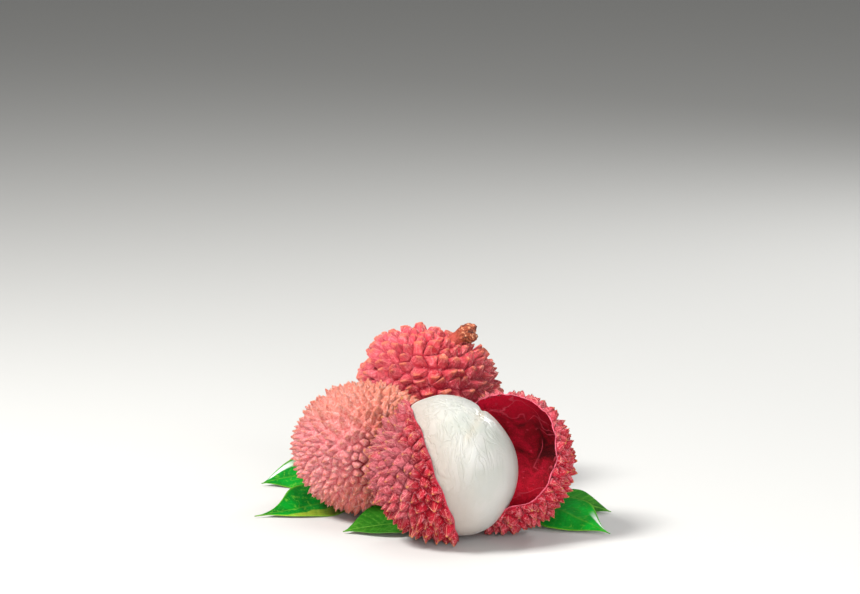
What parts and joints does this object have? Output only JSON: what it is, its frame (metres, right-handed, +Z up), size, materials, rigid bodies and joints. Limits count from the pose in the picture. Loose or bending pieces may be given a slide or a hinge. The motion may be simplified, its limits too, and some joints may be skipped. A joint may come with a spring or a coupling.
{
  "type": "bunch of lychees",
  "caption": "Ripe lychees with spiny red skin: whole fruit, an opened fruit showing white flesh, its empty half skin, and green leaves.",
  "frame": {"origin": "centre of the bunch's box on the surface that it lies on", "axes": "+Z up from the surface, -Y towards the opened fruit at the front, +X towards the empty half skin"},
  "size_m": [0.0868, 0.0898, 0.0431],
  "materials": {
    "clay_skin": "leathery fruit skin with chunky flat-topped tubercles, red with darker crevices",
    "salmon_skin": "leathery fruit skin with fine spines, salmon pink going to orange tan at the top",
    "rose_skin": "leathery fruit skin with spiky tubercles and pale radial streaks",
    "crimson_skin": "spiky red outside, smooth mottled crimson lining, thin pale rim",
    "white_flesh": "moist translucent white aril, glossy, finely wrinkled",
    "stem_bark": "rough brown bark with a torn end",
    "dark_leaf": "glossy green leaf with a pale midrib and fine side veins",
    "light_leaf": "satin lighter green leaf with a pale midrib and fine side veins"
  },
  "bodies": {
    "root": {"back_fruit": "clay_skin", "back_fruit_stem": "stem_bark", "left_fruit": "salmon_skin", "open_fruit_skin": "rose_skin", "open_fruit_flesh": "white_flesh", "empty_skin_half": "crimson_skin", "leaf_left_low": "dark_leaf", "leaf_left_high": "dark_leaf", "leaf_front": "light_leaf", "leaf_right_low": "dark_leaf", "leaf_right_high": "light_leaf"}
  },
  "joints": []
}
